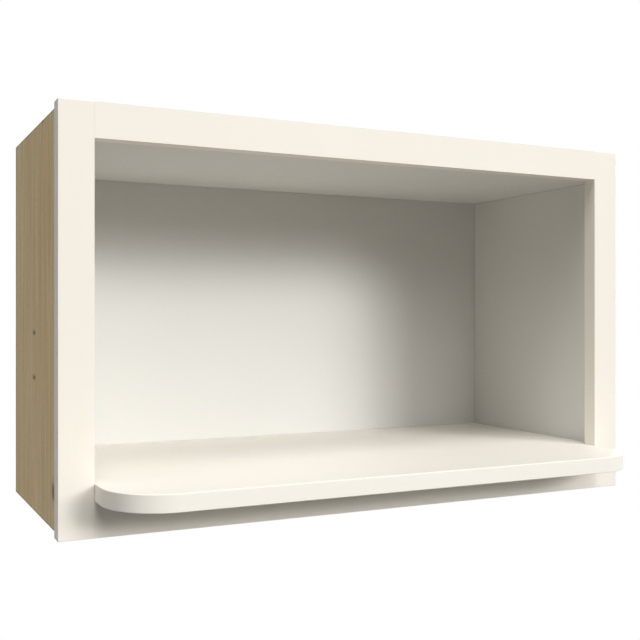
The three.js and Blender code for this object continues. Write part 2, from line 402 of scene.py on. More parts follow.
def ply_layers_group() -> bpy.types.NodeTree:
    """The plies in a board's edge: every second one shows end grain, with glue lines between.

    Returns:
        The group.
    """
    inputs = {"Vector": Socket.VECTOR, "Across": 0.0, "Ply": 1.4 * MM}
    s, given = new_group("ply_layers", Tree.EFFECT, inputs)
    place = given["Vector"]
    waviness, end_grain_height = 0.4 * MM, -0.5
    across = s.line(s.noise(place, scale=60.0), waviness, given["Across"])
    plies = s.math("DIVIDE", across, given["Ply"])
    end_grain = s.math("GREATER_THAN", s.math("FRACT", s.times(plies, 0.5)), 0.5)
    off_middle = s.math("ABSOLUTE", s.math("SUBTRACT", s.math("FRACT", plies), 0.5))
    fibre = s.noise(place, scale=2200.0, detail=3.0, Roughness=0.7)
    results = {
        "End Grain": end_grain,
        "Glue Line": s.between(off_middle, low=0.43, high=0.5),
        "Fibre": fibre,
        "Height": s.line(end_grain, end_grain_height, fibre),
    }
    return s.giving(Socket.NUMBER, results)


def knot_group() -> bpy.types.NodeTree:
    """One knot: a dark eye at a place on a board, and the paler ring round it.

    Returns:
        The group.
    """
    inputs = {name: Socket.VECTOR for name in ("Vector", "Centre", "Half Size")}
    s, given = new_group("knot", Tree.EFFECT, inputs)
    ragged = s.line(s.noise(given["Vector"], scale=420.0, detail=3.0), slope=0.7, start=0.65)
    arm = s.vector_math("SUBTRACT", given["Vector"], given["Centre"])
    length = s.vector_math("LENGTH", s.vector_math("DIVIDE", arm, given["Half Size"]))
    share = s.math("DIVIDE", length, ragged)
    eye = s.between(share, low=1.15, high=0.55)
    ring = s.between(share, low=2.2, high=1.0)
    return s.giving(Socket.NUMBER, {"Eye": eye, "Ring": ring})


def board_rim_group() -> bpy.types.NodeTree:
    """A soft mask along the edges of an upright board, where the veneer gets painted shade.

    Returns:
        The group.
    """
    inputs = {name: Socket.VECTOR for name in ("Vector", "Middle", "Half Size")}
    inputs |= {"Upright Width": 7 * MM, "Level Width": 2 * MM}
    s, given = new_group("board_rim", Tree.EFFECT, inputs)
    away = s.vector_math("SUBTRACT", given["Vector"], given["Middle"])
    size = s.vector_math("ABSOLUTE", away)
    _, depth, height = s.apart(s.vector_math("SUBTRACT", given["Half Size"], size))
    to_upright = s.math("DIVIDE", depth, given["Upright Width"])
    to_level = s.math("DIVIDE", height, given["Level Width"])
    nearest = s.math("MINIMUM", to_upright, to_level)
    ragged = s.line(s.noise(given["Vector"], scale=90.0), slope=0.8, start=0.6)
    rim = s.between(s.math("DIVIDE", nearest, ragged), low=1.0, high=0.25)
    return s.giving(Socket.NUMBER, {"Rim": rim})


PAINT_FILM = paint_film_group()
WOOD_FIGURE = wood_figure_group()
PLY_LAYERS = ply_layers_group()
KNOT = knot_group()
PAINTED_EDGE_SHADE = board_rim_group()


# ---------------------------------------------------------------- Finishes


@dataclass(frozen=True)
class Pattern:
    """What a finish draws, as sockets: its colour, the mask of its gloss and its height."""

    color: Any
    gloss: Any
    height: Any


@dataclass(frozen=True)
class Finish:
    """What every finish has. The roughness swings with the gloss mask, from a start near its own."""

    name: str
    color: Triple
    roughness: float
    relief: float = 0.0
    specular: float = 0.5
    metallic: float = 0.0
    gloss_swing: float = 0.2
    gloss_start: float = -0.1
    relief_depth: float = 0.1 * MM

    def material(self) -> bpy.types.Material:
        """Makes the material, with a Principled shader that holds what is the same all over.

        Returns:
            The material.
        """
        material = bpy.data.materials.new(self.name)
        material.use_nodes = True
        material.diffuse_color = opaque(self.color)
        s = NodeSketch(material.node_tree)
        drawn = self.pattern(s, s.add("ShaderNodeTexCoord").outputs["Object"])
        start = self.roughness + self.gloss_start
        bump = {"Strength": self.relief, "Distance": self.relief_depth, "Height": drawn.height}
        values = {
            "Metallic": self.metallic,
            "Specular IOR Level": self.specular,
            "Base Color": drawn.color,
            "Roughness": s.line(drawn.gloss, self.gloss_swing, start),
            "Normal": s.out("ShaderNodeBump", bump),
        }
        shader = material.node_tree.nodes["Principled BSDF"]
        for name, value in values.items():
            s.feed(shader.inputs[name], value)
        return material

    def pattern(self, s: NodeSketch, place: Any) -> Pattern:
        """Draws the pattern from the object's coordinates. Each finish has its own."""
        raise NotImplementedError


@dataclass(frozen=True)
class Paint(Finish):
    """Satin paint, sprayed on wood whose grain it just lets through."""

    gloss_swing: float = 0.12
    gloss_start: float = -0.06
    relief_depth: float = 0.05 * MM
    grain: Grain = Grain.UPRIGHT
    drift: float = 0.02
    peel_scale: float = 700.0

    def pattern(self, s: NodeSketch, place: Any) -> Pattern:
        """Draws the paint's slight drift in tone and gloss, and its peel.

        Args:
            s: The material's tree.
            place: The object's coordinates.

        Returns:
            The pattern.
        """
        inputs = {"Vector": s.turned(place, self.grain), "Peel Scale": self.peel_scale}
        film = s.effect(PAINT_FILM, inputs)
        darker = tuple(channel * (1 - self.drift) for channel in self.color)
        lighter = tuple(min(channel * (1 + self.drift), 1.0) for channel in self.color)
        color = s.blend(film["Tone"], darker, lighter)
        return Pattern(color, film["Gloss"], film["Height"])


@dataclass(frozen=True)
class Knot:
    """A knot in a veneer, by its place on the face and its half sizes along the axes."""

    centre: Triple
    half_size: Triple
    color: Triple = (0.08, 0.07, 0.06)
    ring_depth: float = 0.35
    eye_depth: float = 0.75


@dataclass(frozen=True)
class Veneer(Finish):
    """Clear-finished wood veneer with soft streaks, fine lines, flecks and a few knots."""

    gloss_swing: float = 0.1
    gloss_start: float = -0.05
    relief_depth: float = 0.04 * MM
    warm: Triple = (0.76, 0.56, 0.31)
    dark: Triple = (0.44, 0.32, 0.17)
    # The colour of the painted shade along the board's edges, and below it how much of it shows.
    rim_color: Triple = (0.2, 0.15, 0.07)
    grain: Grain = Grain.UPRIGHT
    streak_scale: float = 20.0
    line_depth: float = 0.42
    fleck_depth: float = 0.12
    mottle_depth: float = 0.08
    rim_depth: float = 0.75
    knots: tuple[Knot, ...] = ()
    board: str = ""

    def pattern(self, s: NodeSketch, place: Any) -> Pattern:
        """Draws the veneer's figure, then its knots and a rim of painted shade along its edges.

        Args:
            s: The material's tree.
            place: The object's coordinates.

        Returns:
            The pattern.
        """
        inputs = {"Vector": s.turned(place, self.grain), "Streak Scale": self.streak_scale}
        wood = s.effect(WOOD_FIGURE, inputs)
        color = s.blend(s.between(wood["Streaks"], low=0.4, high=0.6), self.color, self.warm)
        lines = s.between(wood["Lines"], low=0.36, high=0.66, smooth=False)
        color = s.laid(color, self.dark, lines, self.line_depth)
        color = s.laid(color, self.dark, wood["Flecks"], self.fleck_depth)
        mottle = s.between(wood["Mottle"], low=0.4, high=0.65)
        color = s.laid(color, self.dark, mottle, self.mottle_depth)
        for knot in self.knots:
            inputs = {"Vector": place, "Centre": knot.centre, "Half Size": knot.half_size}
            marks = s.effect(KNOT, inputs)
            color = s.laid(color, self.dark, marks["Ring"], knot.ring_depth)
            color = s.laid(color, knot.color, marks["Eye"], knot.eye_depth)
        # The darker rim along the board's edges is painted shade.
        if self.board:
            low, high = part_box(self.board)
            half = (high - low) / 2
            inputs = {"Vector": place, "Middle": tuple(low + half), "Half Size": tuple(half)}
            rim = s.effect(PAINTED_EDGE_SHADE, inputs)["Rim"]
            color = s.laid(color, self.rim_color, rim, self.rim_depth)
        return Pattern(color, lines, wood["Height"])


@dataclass(frozen=True)
class PlyEdge(Finish):
    """The sawn edge of plywood, with its plies counted from one face."""

    gloss_swing: float = 0.15
    gloss_start: float = -0.07
    relief_depth: float = 0.12 * MM
    dark: Triple = (0.3, 0.18, 0.08)
    ply: float = 1.41 * MM
    across: Facing = Facing.RIGHT
    start: float = 0.0
    least_depth: float = 0.1
    end_grain_depth: float = 0.45
    fibre_depth: float = 0.3
    glue_depth: float = 0.6

    def pattern(self, s: NodeSketch, place: Any) -> Pattern:
        """Draws the plies and the glue lines between them.

        Args:
            s: The material's tree.
            place: The object's coordinates.

        Returns:
            The pattern.
        """
        x, _, z = s.apart(place)
        along = s.math("ABSOLUTE", x) if self.across is Facing.RIGHT else z
        across = s.math("SUBTRACT", along, self.start)
        edge = s.effect(PLY_LAYERS, {"Vector": place, "Across": across, "Ply": self.ply})
        shade = s.line(edge["End Grain"], self.end_grain_depth, self.least_depth)
        shade = s.line(edge["Fibre"], self.fibre_depth, shade)
        color = s.blend(shade, self.color, self.dark)
        color = s.laid(color, self.dark, edge["Glue Line"], self.glue_depth)
        return Pattern(color, edge["Fibre"], edge["Height"])


@dataclass(frozen=True)
class Pine(Finish):
    """Planed pine with clear growth lines and no finish."""

    gloss_swing: float = -0.12
    gloss_start: float = 0.0
    relief_depth: float = 0.15 * MM
    dark: Triple = (0.5, 0.27, 0.09)
    grain: Grain = Grain.ACROSS
    ring_reach: float = 0.2
    late_depth: float = 0.7
    fine_depth: float = 0.3

    def pattern(self, s: NodeSketch, place: Any) -> Pattern:
        """Draws the growth lines, which reach deep into the board, and the fine fibres.

        Args:
            s: The material's tree.
            place: The object's coordinates.

        Returns:
            The pattern.
        """
        upright = s.scaled(s.turned(place, self.grain), y=self.ring_reach)
        inputs = {"Vector": upright, "Streak Scale": 110.0, "Line Scale": 300.0}
        inputs |= {"Wander": 0.03, "Shortness": 0.03}
        wood = s.effect(WOOD_FIGURE, inputs)
        late = s.between(wood["Streaks"], low=0.46, high=0.64)
        color = s.laid(self.color, self.dark, late, self.late_depth)
        fine = s.between(wood["Lines"], low=0.35, high=0.7)
        color = s.laid(color, self.dark, fine, self.fine_depth)
        return Pattern(color, late, wood["Height"])


@dataclass(frozen=True)
class Hardboard(Finish):
    """The rough brown rear of pressed board, with matted fibres."""

    relief_depth: float = 0.2 * MM
    dark: Triple = (0.22, 0.13, 0.06)
    mesh_pitch: float = 3.2 * MM
    fibre_tone: float = 0.75
    imprint_tone: float = 0.1
    imprint_height: float = 0.7

    def pattern(self, s: NodeSketch, place: Any) -> Pattern:
        """Draws the matted fibres, and the imprint of the mesh on which the board was pressed.

        Args:
            s: The material's tree.
            place: The object's coordinates.

        Returns:
            The pattern.
        """
        clouds = s.noise(place, scale=14.0, detail=4.0)
        fibres = s.noise(place, scale=900.0, detail=6.0, Roughness=0.75, Distortion=1.2)
        x, _, z = s.apart(place)
        turns = math.tau / self.mesh_pitch
        waves = [s.math("SINE", s.times(axis, turns)) for axis in (x, z)]
        imprint = s.line(s.times(*waves), slope=0.5, start=0.5)
        tone = s.line(fibres, self.fibre_tone, s.times(clouds, 1.0 - self.fibre_tone))
        tone = s.line(imprint, self.imprint_tone, tone)
        color = s.blend(s.between(tone, low=0.38, high=0.72, smooth=False), self.dark, self.color)
        return Pattern(color, fibres, s.line(imprint, self.imprint_height, fibres))


@dataclass(frozen=True, kw_only=True)
class Clouded(Finish):
    """A finish with clouds of a second colour and, where they have a scale, fine marks."""

    cloud: Triple
    cloud_scale: float = 600.0
    cloud_detail: float = 4.0
    cloud_from: float = 0.4
    cloud_full: float = 0.7
    mark_scale: float = 0.0

    def pattern(self, s: NodeSketch, place: Any) -> Pattern:
        """Draws the clouds, and the marks or else the clouds' own relief.

        Args:
            s: The material's tree.
            place: The object's coordinates.

        Returns:
            The pattern.
        """
        clouds = s.noise(place, self.cloud_scale, self.cloud_detail)
        mask = s.between(clouds, self.cloud_from, self.cloud_full)
        height = s.noise(place, self.mark_scale) if self.mark_scale else clouds
        return Pattern(s.blend(mask, self.color, self.cloud), clouds, height)


# Colours are linear.
CREAM: Triple = (0.885, 0.836, 0.744)
# The shelf's cream is the frame's cream made a little lighter and cooler: painted light for the
# shelf top, which offsets the warm light bounced onto it.
LIGHTENED_SHELF_CREAM: Triple = (0.89, 0.85, 0.768)
# The lining's cream is the frame's cream made darker and greyer: painted shade for the inside of the
# bay.
SHADED_LINING_CREAM: Triple = (0.735, 0.724, 0.69)
MAPLE: Triple = (0.94, 0.765, 0.455)
WARM_MAPLE: Triple = (0.94, 0.7, 0.395)
RAW_MAPLE: Triple = (0.8, 0.64, 0.4)

FRAME_UPRIGHT = Paint("cream_paint_upright", CREAM, 0.5, relief=0.25, specular=0.2)
FRAME_ACROSS = replace(FRAME_UPRIGHT, name="cream_paint_across", grain=Grain.ACROSS)
SHELF_PAINT = Paint(
    "cream_paint_shelf", LIGHTENED_SHELF_CREAM, 0.4, relief=0.2, specular=0.35, grain=Grain.ACROSS, drift=0.015
)
SHADED_LINING = Paint(
    "cream_lining", SHADED_LINING_CREAM, 0.55, relief=0.2, specular=0.25, drift=0.025, peel_scale=1100.0
)
SIDE_VENEER = Veneer("maple_veneer", MAPLE, 0.7, relief=0.3, specular=0.12, warm=WARM_MAPLE)
PANEL_VENEER = Veneer(
    "maple_veneer_across", RAW_MAPLE, 0.6, relief=0.3, specular=0.25, grain=Grain.ACROSS
)
SAWN_EDGE = PlyEdge("ply_edge", (0.62, 0.47, 0.28), 0.75, relief=0.5, specular=0.2)
PINE = Pine("planed_pine", (0.72, 0.52, 0.27), 0.72, relief=0.4, specular=0.25)
HARDBOARD = Hardboard("hardboard_rear", (0.42, 0.27, 0.14), 0.85, relief=0.6, specular=0.2)
ZINC = Clouded(
    "zinc_plate",
    (0.62, 0.61, 0.57),
    0.34,
    relief=0.3,
    metallic=1.0,
    gloss_swing=0.25,
    relief_depth=0.02 * MM,
    cloud=(0.42, 0.4, 0.33),
    mark_scale=4000.0,
)
GLUE = Clouded(
    "dried_glue",
    (0.7, 0.52, 0.24),
    0.35,
    relief=0.3,
    cloud=(0.85, 0.72, 0.42),
    cloud_scale=260.0,
    cloud_detail=3.0,
    cloud_from=0.35,
)


# ---------------------------------------------------------------- Meshes


def new_object(name: str, data: bpy.types.ID) -> bpy.types.Object:
    """Makes an object at the origin, where a mesh has its place in its vertices.

    Args:
        name: The object's name.
        data: Its mesh, lamp or camera.

    Returns:
        The object.
    """
    made = bpy.data.objects.new(name, data)
    bpy.context.scene.collection.objects.link(made)
    return made


def welded_copy(node: str) -> bpy.types.Mesh:
    """Copies a solid's mesh, with its loose triangles joined into whole flat faces.

    Args:
        node: The solid's name in the frame.

    Returns:
        The new mesh.
    """
    welded = bmesh.new()
    welded.from_mesh(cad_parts[node].data)
    bmesh.ops.remove_doubles(welded, verts=welded.verts, dist=WELD_DISTANCE)
    flat = math.radians(FLAT_ANGLE)
    bmesh.ops.dissolve_limit(welded, angle_limit=flat, verts=welded.verts, edges=welded.edges)
    mesh = bpy.data.meshes.new(node)
    welded.to_mesh(mesh)
    welded.free()
    mesh.materials.clear()
    return mesh


def modify(made: bpy.types.Object, kind: str, **settings: Any) -> bpy.types.Modifier:
    """Adds a modifier to an object.

    Args:
        made: The object.
        kind: The modifier's type.
        settings: Its properties.

    Returns:
        The modifier.
    """
    modifier = made.modifiers.new(kind.lower(), kind)
    for name, value in settings.items():
        setattr(modifier, name, value)
    return modifier


def baked(made: bpy.types.Object) -> bpy.types.Object:
    """Turns what an object's modifiers make into its plain mesh, and takes them off.

    Args:
        made: The object.

    Returns:
        The same object.
    """
    graph = bpy.context.evaluated_depsgraph_get()
    shown = made.evaluated_get(graph)
    mesh = bpy.data.meshes.new_from_object(shown, preserve_all_data_layers=True, depsgraph=graph)
    made.modifiers.clear()
    old = made.data
    made.data = mesh
    bpy.data.meshes.remove(old)
    mesh.name = made.name
    return made


def grown(
    name: str, mesh: bpy.types.Mesh, tree: bpy.types.NodeTree, values: dict[str, Any]
) -> bpy.types.Object:
    """Grows a piece from a geometry tree, and bakes it.

    Args:
        name: The piece's name.
        mesh: What the tree starts from.
        tree: The tree.
        values: The value of each of its inputs by name.

    Returns:
        The piece.
    """
    made = new_object(name, mesh)
    grow = modify(made, "NODES", node_group=tree)
    for item in tree.interface.items_tree:
        if item.in_out == "INPUT" and item.name in values:
            grow[item.identifier] = values[item.name]
    return baked(made)


def smooth_below(mesh: bpy.types.Mesh, angle: float) -> None:
    """Shades a mesh smooth, apart from its sharper edges.

    Args:
        mesh: The mesh.
        angle: The angle in degrees past which an edge stays sharp.
    """
    mesh.polygons.foreach_set("use_smooth", [True] * len(mesh.polygons))
    mesh.set_sharp_from_angle(angle=math.radians(angle))
    mesh.update()


def joined(whole: bpy.types.Object, extra: bpy.types.Object) -> bpy.types.Object:
    """Adds one piece's mesh and materials to another's.

    Args:
        whole: The piece that stays.
        extra: The piece that goes into it.

    Returns:
        The first piece.
    """
    both = [whole, extra]
    with bpy.context.temp_override(
        active_object=whole, selected_editable_objects=both, selected_objects=both
    ):
        bpy.ops.object.join()
    return whole


def hand_over(made: bpy.types.Object, slot: Slot, *nodes: str) -> None:
    """Lets a finished piece ride on the cabinet, in place of its solids.

    Args:
        made: The piece.
        slot: The piece's material slot. It is not used.
        nodes: The solids that it stands for.
    """
    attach(made, BODY)
    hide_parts(*nodes)
    log.info("%s: %d faces in place of %d solids", made.name, len(made.data.polygons), len(nodes))


def titled(sizes: Any) -> dict[str, Any]:
    """Gives a dataclass's sizes by the names that a tree's inputs have."""
    return {name.replace("_", " ").title(): value for name, value in vars(sizes).items()}


# ---------------------------------------------------------------- Boards


@dataclass
class Board:
    """One board, with the outline of its solid, eased edges and a finish for each facing."""

    node: str
    slot: Slot
    rest: bpy.types.Material
    facings: dict[Facing, bpy.types.Material] = field(default_factory=dict)
    easing: float = 0.5 * MM
    easing_steps: int = 3
    least_edge: float = 6 * MM
    least_turn: float = math.radians(40)
    splits: tuple[float, ...] = ()
    glued: Callable[[Vector], bool] = lambda point: False

    def place(self) -> None:
        """Makes the board and hands it over."""
        hand_over(self.build(), self.slot, self.node)

    def build(self) -> bpy.types.Object:
        """Makes the board.

        Returns:
            Its object, ready to be handed over.
        """
        mesh = welded_copy(self.node)
        self.prepare(mesh)
        made = new_object(f"{self.node}_board", mesh)
        modify(
            made,
            "BEVEL",
            width=self.easing,
            segments=self.easing_steps,
            limit_method="WEIGHT",
            use_clamp_overlap=False,
            miter_outer="MITER_ARC",
        )
        modify(made, "WEIGHTED_NORMAL", keep_sharp=True)
        return baked(made)

    def prepare(self, mesh: bpy.types.Mesh) -> None:
        """Splits the board's edges at its joints, finishes its faces and marks what is eased.

        Args:
            mesh: The board's mesh.
        """
        shape = bmesh.new()
        shape.from_mesh(mesh)
        for height in self.splits:
            everything = [*shape.verts, *shape.edges, *shape.faces]
            bmesh.ops.bisect_plane(
                shape, geom=everything, dist=SMALL, plane_co=(0, 0, height), plane_no=(0, 0, 1)
            )
        weight = shape.edges.layers.float.new("bevel_weight_edge")
        for edge in shape.edges:
            edge[weight] = 1.0 if self.is_eased(edge) else 0.0
        for face in shape.faces:
            face.smooth = True
            for index, facing in enumerate(self.facings, start=1):
                if face.normal.dot(Vector(facing.value)) > ALIGNED:
                    face.material_index = index
        shape.to_mesh(mesh)
        shape.free()
        for material in (self.rest, *self.facings.values()):
            mesh.materials.append(material)
        smooth_below(mesh, SMOOTH_ANGLE)

    def is_eased(self, edge: bmesh.types.BMEdge) -> bool:
        """Says whether an edge is rounded.

        Args:
            edge: An edge of the board.

        Returns:
            True for a long outer edge that doesn't lie in a glued joint.
        """
        if not edge.is_manifold or not edge.is_convex or edge.calc_length() < self.least_edge:
            return False
        if edge.calc_face_angle() < self.least_turn:
            return False
        return not all(self.glued(vertex.co) for vertex in edge.verts)


# ---------------------------------------------------------------- Sub-assemblies


@dataclass
class FaceFrame:
    """Two stiles and two rails, glued edge to edge and painted as one."""

    easing: float = 0.6 * MM
    joint_reach: float = 0.3 * MM
    ceiling: float = field(default_factory=lambda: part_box("top_rail")[0].z)
    floor: float = field(default_factory=lambda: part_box("bottom_rail")[1].z)
    opening_edge: float = field(default_factory=lambda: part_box("right_stile")[0].x)

    def build(self) -> None:
        """Makes the four boards. Their edges are eased apart from those in the joints."""
        upright, across = FRAME_UPRIGHT.material(), FRAME_ACROSS.material()
        look = {"easing": self.easing, "glued": self.in_joint}
        for node in ("left_stile", "right_stile"):
            splits = (self.floor, self.ceiling)
            Board(node, Slot.CREAM_PAINT, upright, splits=splits, **look).place()
        for node in ("top_rail", "bottom_rail"):
            Board(node, Slot.CREAM_PAINT, across, **look).place()

    def in_joint(self, point: Vector) -> bool:
        """Says whether a point lies where a rail's end meets a stile.

        Args:
            point: A place on the frame.

        Returns:
            True at the joint, above or below the opening.
        """
        beside = abs(abs(point.x) - self.opening_edge) < self.joint_reach
        outside_opening = point.z > self.ceiling - SMALL or point.z < self.floor + SMALL
        return beside and outside_opening


@dataclass
class Case:
    """The maple-faced box behind the frame, lined in cream inside."""

    easing: float = 0.35 * MM
    back_easing: float = 0.15 * MM
    pin_knot: Triple = (MM, 8.0 * MM, 2.8 * MM)
    edge_knot: Triple = (MM, 10.0 * MM, 10.0 * MM)

    def build(self) -> None:
        """Makes the sides, the panels and the back."""
        # The inside faces take the lining's darker cream, which holds painted shade.
        shaded_lining, panel_face = SHADED_LINING.material(), PANEL_VENEER.material()
        side_edge = self.sawn_edge("right_side", Facing.RIGHT)
        boards = {
            "left_side": (side_edge, {Facing.LEFT: self.left_veneer(), Facing.RIGHT: shaded_lining}),
            "right_side": (side_edge, {Facing.RIGHT: self.right_veneer(), Facing.LEFT: shaded_lining}),
        }
        panels = {"top_panel": (panel_face, shaded_lining), "bottom_panel": (shaded_lining, panel_face)}
        for node, (upper, under) in panels.items():
            edge = self.sawn_edge(node, Facing.UP)
            boards[node] = (edge, {Facing.UP: upper, Facing.DOWN: under})
        for node, (edge, facings) in boards.items():
            Board(node, Slot.MAPLE_BOARD, edge, facings, self.easing).place()
        back = {Facing.FRONT: shaded_lining}
        rear = HARDBOARD.material()
        Board("back_panel", Slot.LINED_BACK, rear, back, self.back_easing).place()

    def sawn_edge(self, node: str, across: Facing) -> bpy.types.Material:
        """Makes the finish of a board's edges, with plies counted from its inner or lower face.

        Args:
            node: The board's solid. The right side stands for both.
            across: The way through the board's thickness.

        Returns:
            The material.
        """
        low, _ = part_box(node)
        start = low.x if across is Facing.RIGHT else low.z
        return replace(SAWN_EDGE, name=f"ply_edge_{node}", across=across, start=start).material()

    def right_veneer(self) -> bpy.types.Material:
        """Makes the veneer of the right side, which has no knots."""
        node = "right_side"
        return replace(SIDE_VENEER, name=f"maple_veneer_{node}", board=node).material()

    def left_veneer(self) -> bpy.types.Material:
        """Makes the veneer of the left side, with its knots and a dark patch, where the photograph
        has them.

        Returns:
            The material.
        """
        node = "left_side"
        low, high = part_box(node)
        knots = (
            Knot((low.x, -0.1348, -0.2059), self.pin_knot),
            Knot((low.x, -0.1348, -0.2595), self.pin_knot),
            Knot((low.x, -0.1908, high.z), self.pin_knot),
            # A dark patch drawn with the knot group, just behind the stile at the shelf's height;
            # what makes it is not known.
            Knot((low.x, -0.2518, -0.377), self.edge_knot),
        )
        name = f"maple_veneer_{node}"
        return replace(SIDE_VENEER, name=name, board=node, knots=knots).material()


@dataclass
class HangingRails:
    """The two pine rails behind the back, by which the cabinet is screwed to the wall."""

    easing: float = 0.9 * MM

    def build(self) -> None:
        """Makes both rails."""
        pine = PINE.material()
        for level in Level:
            node = f"{level.value}_hanging_rail"
            Board(node, Slot.RAW_PINE, pine, easing=self.easing).place()


@dataclass
class MicrowaveShelf:
    """The thick shelf. Its outline is one rule: a wide part, a narrower nose and round corners."""

    corner_radius: float = 63.5 * MM
    corner_steps: int = 28
    easing: float = 0.9 * MM
    easing_steps: int = 4
    least_turn: float = math.radians(40)

    def build(self) -> None:
        """Grows the shelf from its tree, eases its edges and hands it over."""
        sizes = self.sizes()
        values = sizes | {"Material": SHELF_PAINT.material()}
        name = "shelf_board"
        made = grown(name, bpy.data.meshes.new(name), self.tree(sizes), values)
        easing = {"width": self.easing, "segments": self.easing_steps}
        modify(made, "BEVEL", limit_method="ANGLE", angle_limit=self.least_turn, **easing)
        baked(made)
        smooth_below(made.data, SMOOTH_ANGLE)
        modify(made, "WEIGHTED_NORMAL", keep_sharp=True)
        hand_over(baked(made), Slot.CREAM_PAINT, "microwave_shelf")

    def sizes(self) -> dict[str, Any]:
        """Reads the tree's sizes from the shelf's own box and the stile that it passes.

        Returns:
            Each size by the name of its input.
        """
        low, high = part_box("microwave_shelf")
        stile_low, stile_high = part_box("right_stile")
        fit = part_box("right_side")[0].x - high.x
        return {
            "Wide": high.x,
            "Narrow": stile_low.x - fit,
            "Rear": high.y,
            "Shoulder": stile_high.y + fit,
            "Front": low.y,
            "Under": low.z,
            "Thickness": high.z - low.z,
            "Corner Radius": self.corner_radius,
            "Corner Steps": self.corner_steps,
        }

    def tree(self, sizes: dict[str, Any]) -> bpy.types.NodeTree:
        """Makes the tree that draws the outline, rounds its front corners and thickens it.

        Args:
            sizes: The sizes that it has inputs for.

        Returns:
            The tree.
        """
        s, given = shape_tree("shelf_outline", sizes)
        half = [("Wide", "Rear"), ("Wide", "Shoulder"), ("Narrow", "Shoulder"), ("Narrow", "Front")]
        left = [s.vector(s.times(given[width], -1.0), given[depth]) for width, depth in half]
        right = [s.vector(given[width], given[depth]) for width, depth in reversed(half)]
        corners = left + right
        places = {"Count": len(corners), "Position": s.listed("VECTOR", corners)}
        points = s.out("GeometryNodePoints", places)
        curve = s.out("GeometryNodePointsToCurves", {"Points": points})
        poly = s.out("GeometryNodeCurveSplineType", {"Curve": curve}, spline_type="POLY")
        closed = s.out("GeometryNodeSetSplineCyclic", {"Geometry": poly, "Cyclic": True})
        # The two front corners stand in the middle of the list, and only they are round.
        middle = (len(corners) - 1) / 2
        away = s.math("SUBTRACT", s.out("GeometryNodeInputIndex"), middle)
        is_front = s.math("LESS_THAN", s.math("ABSOLUTE", away), 1.0)
        radius = s.times(is_front, given["Corner Radius"])
        rounding = {"Curve": closed, "Count": given["Corner Steps"], "Radius": radius}
        outline = s.out("GeometryNodeFilletCurve", rounding, mode="POLY")
        under = s.out("GeometryNodeFillCurve", {"Curve": outline}, mode="NGONS")
        thicken = {"Mesh": under, "Offset": (0, 0, 1), "Individual": False}
        thicken |= {"Offset Scale": given["Thickness"]}
        both = s.add("GeometryNodeJoinGeometry")
        s.feed(both.inputs[0], s.out("GeometryNodeFlipFaces", {"Mesh": under}))
        s.feed(both.inputs[0], s.out("GeometryNodeExtrudeMesh", thicken))
        weld = {"Geometry": both.outputs[0], "Distance": SMALL}
        board = s.out("GeometryNodeMergeByDistance", weld)
        return s.growing(s.lifted(board, given["Under"]), given["Material"])


@dataclass(frozen=True)
class ScrewHead:
    """A turned head, by its radii and by the distances of its rings from its outer face."""

    head_top_radius: float
    head_radius: float
    crown: float
    rim: float
    neck: float


PAN_HEAD = ScrewHead(2.6 * MM, 4.0 * MM, 1.3 * MM, 2.75 * MM, 2.8 * MM)
FLAT_HEAD = ScrewHead(3.9 * MM, 4.0 * MM, 0.1 * MM, 0.5 * MM, 2.4 * MM)


@dataclass(frozen=True)
class Seat:
    """Where a screw sits: the middle of its head's outer face, its way in and its length."""

    head: Vector
    way: Vector
    length: float

    @classmethod
    def of(cls, node: str) -> Seat:
        """Reads the seat from a screw's solid, whose points lie evenly about its axis.

        Args:
            node: The screw's name in the frame.

        Returns:
            The seat.
        """
        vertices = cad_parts[node].data.vertices
        # Rounded to a micrometre, so that a corner that triangles share counts once.
        spots = {tuple(round(number, 6) for number in vertex.co) for vertex in vertices}
        points = [Vector(spot) for spot in spots]
        middle = sum(points, Vector()) / len(points)
        tip = max(points, key=lambda point: (point - middle).length)
        way = (tip - middle).normalized()
        length = max((tip - point).dot(way) for point in points)
        return cls(tip - way * length, way, length)


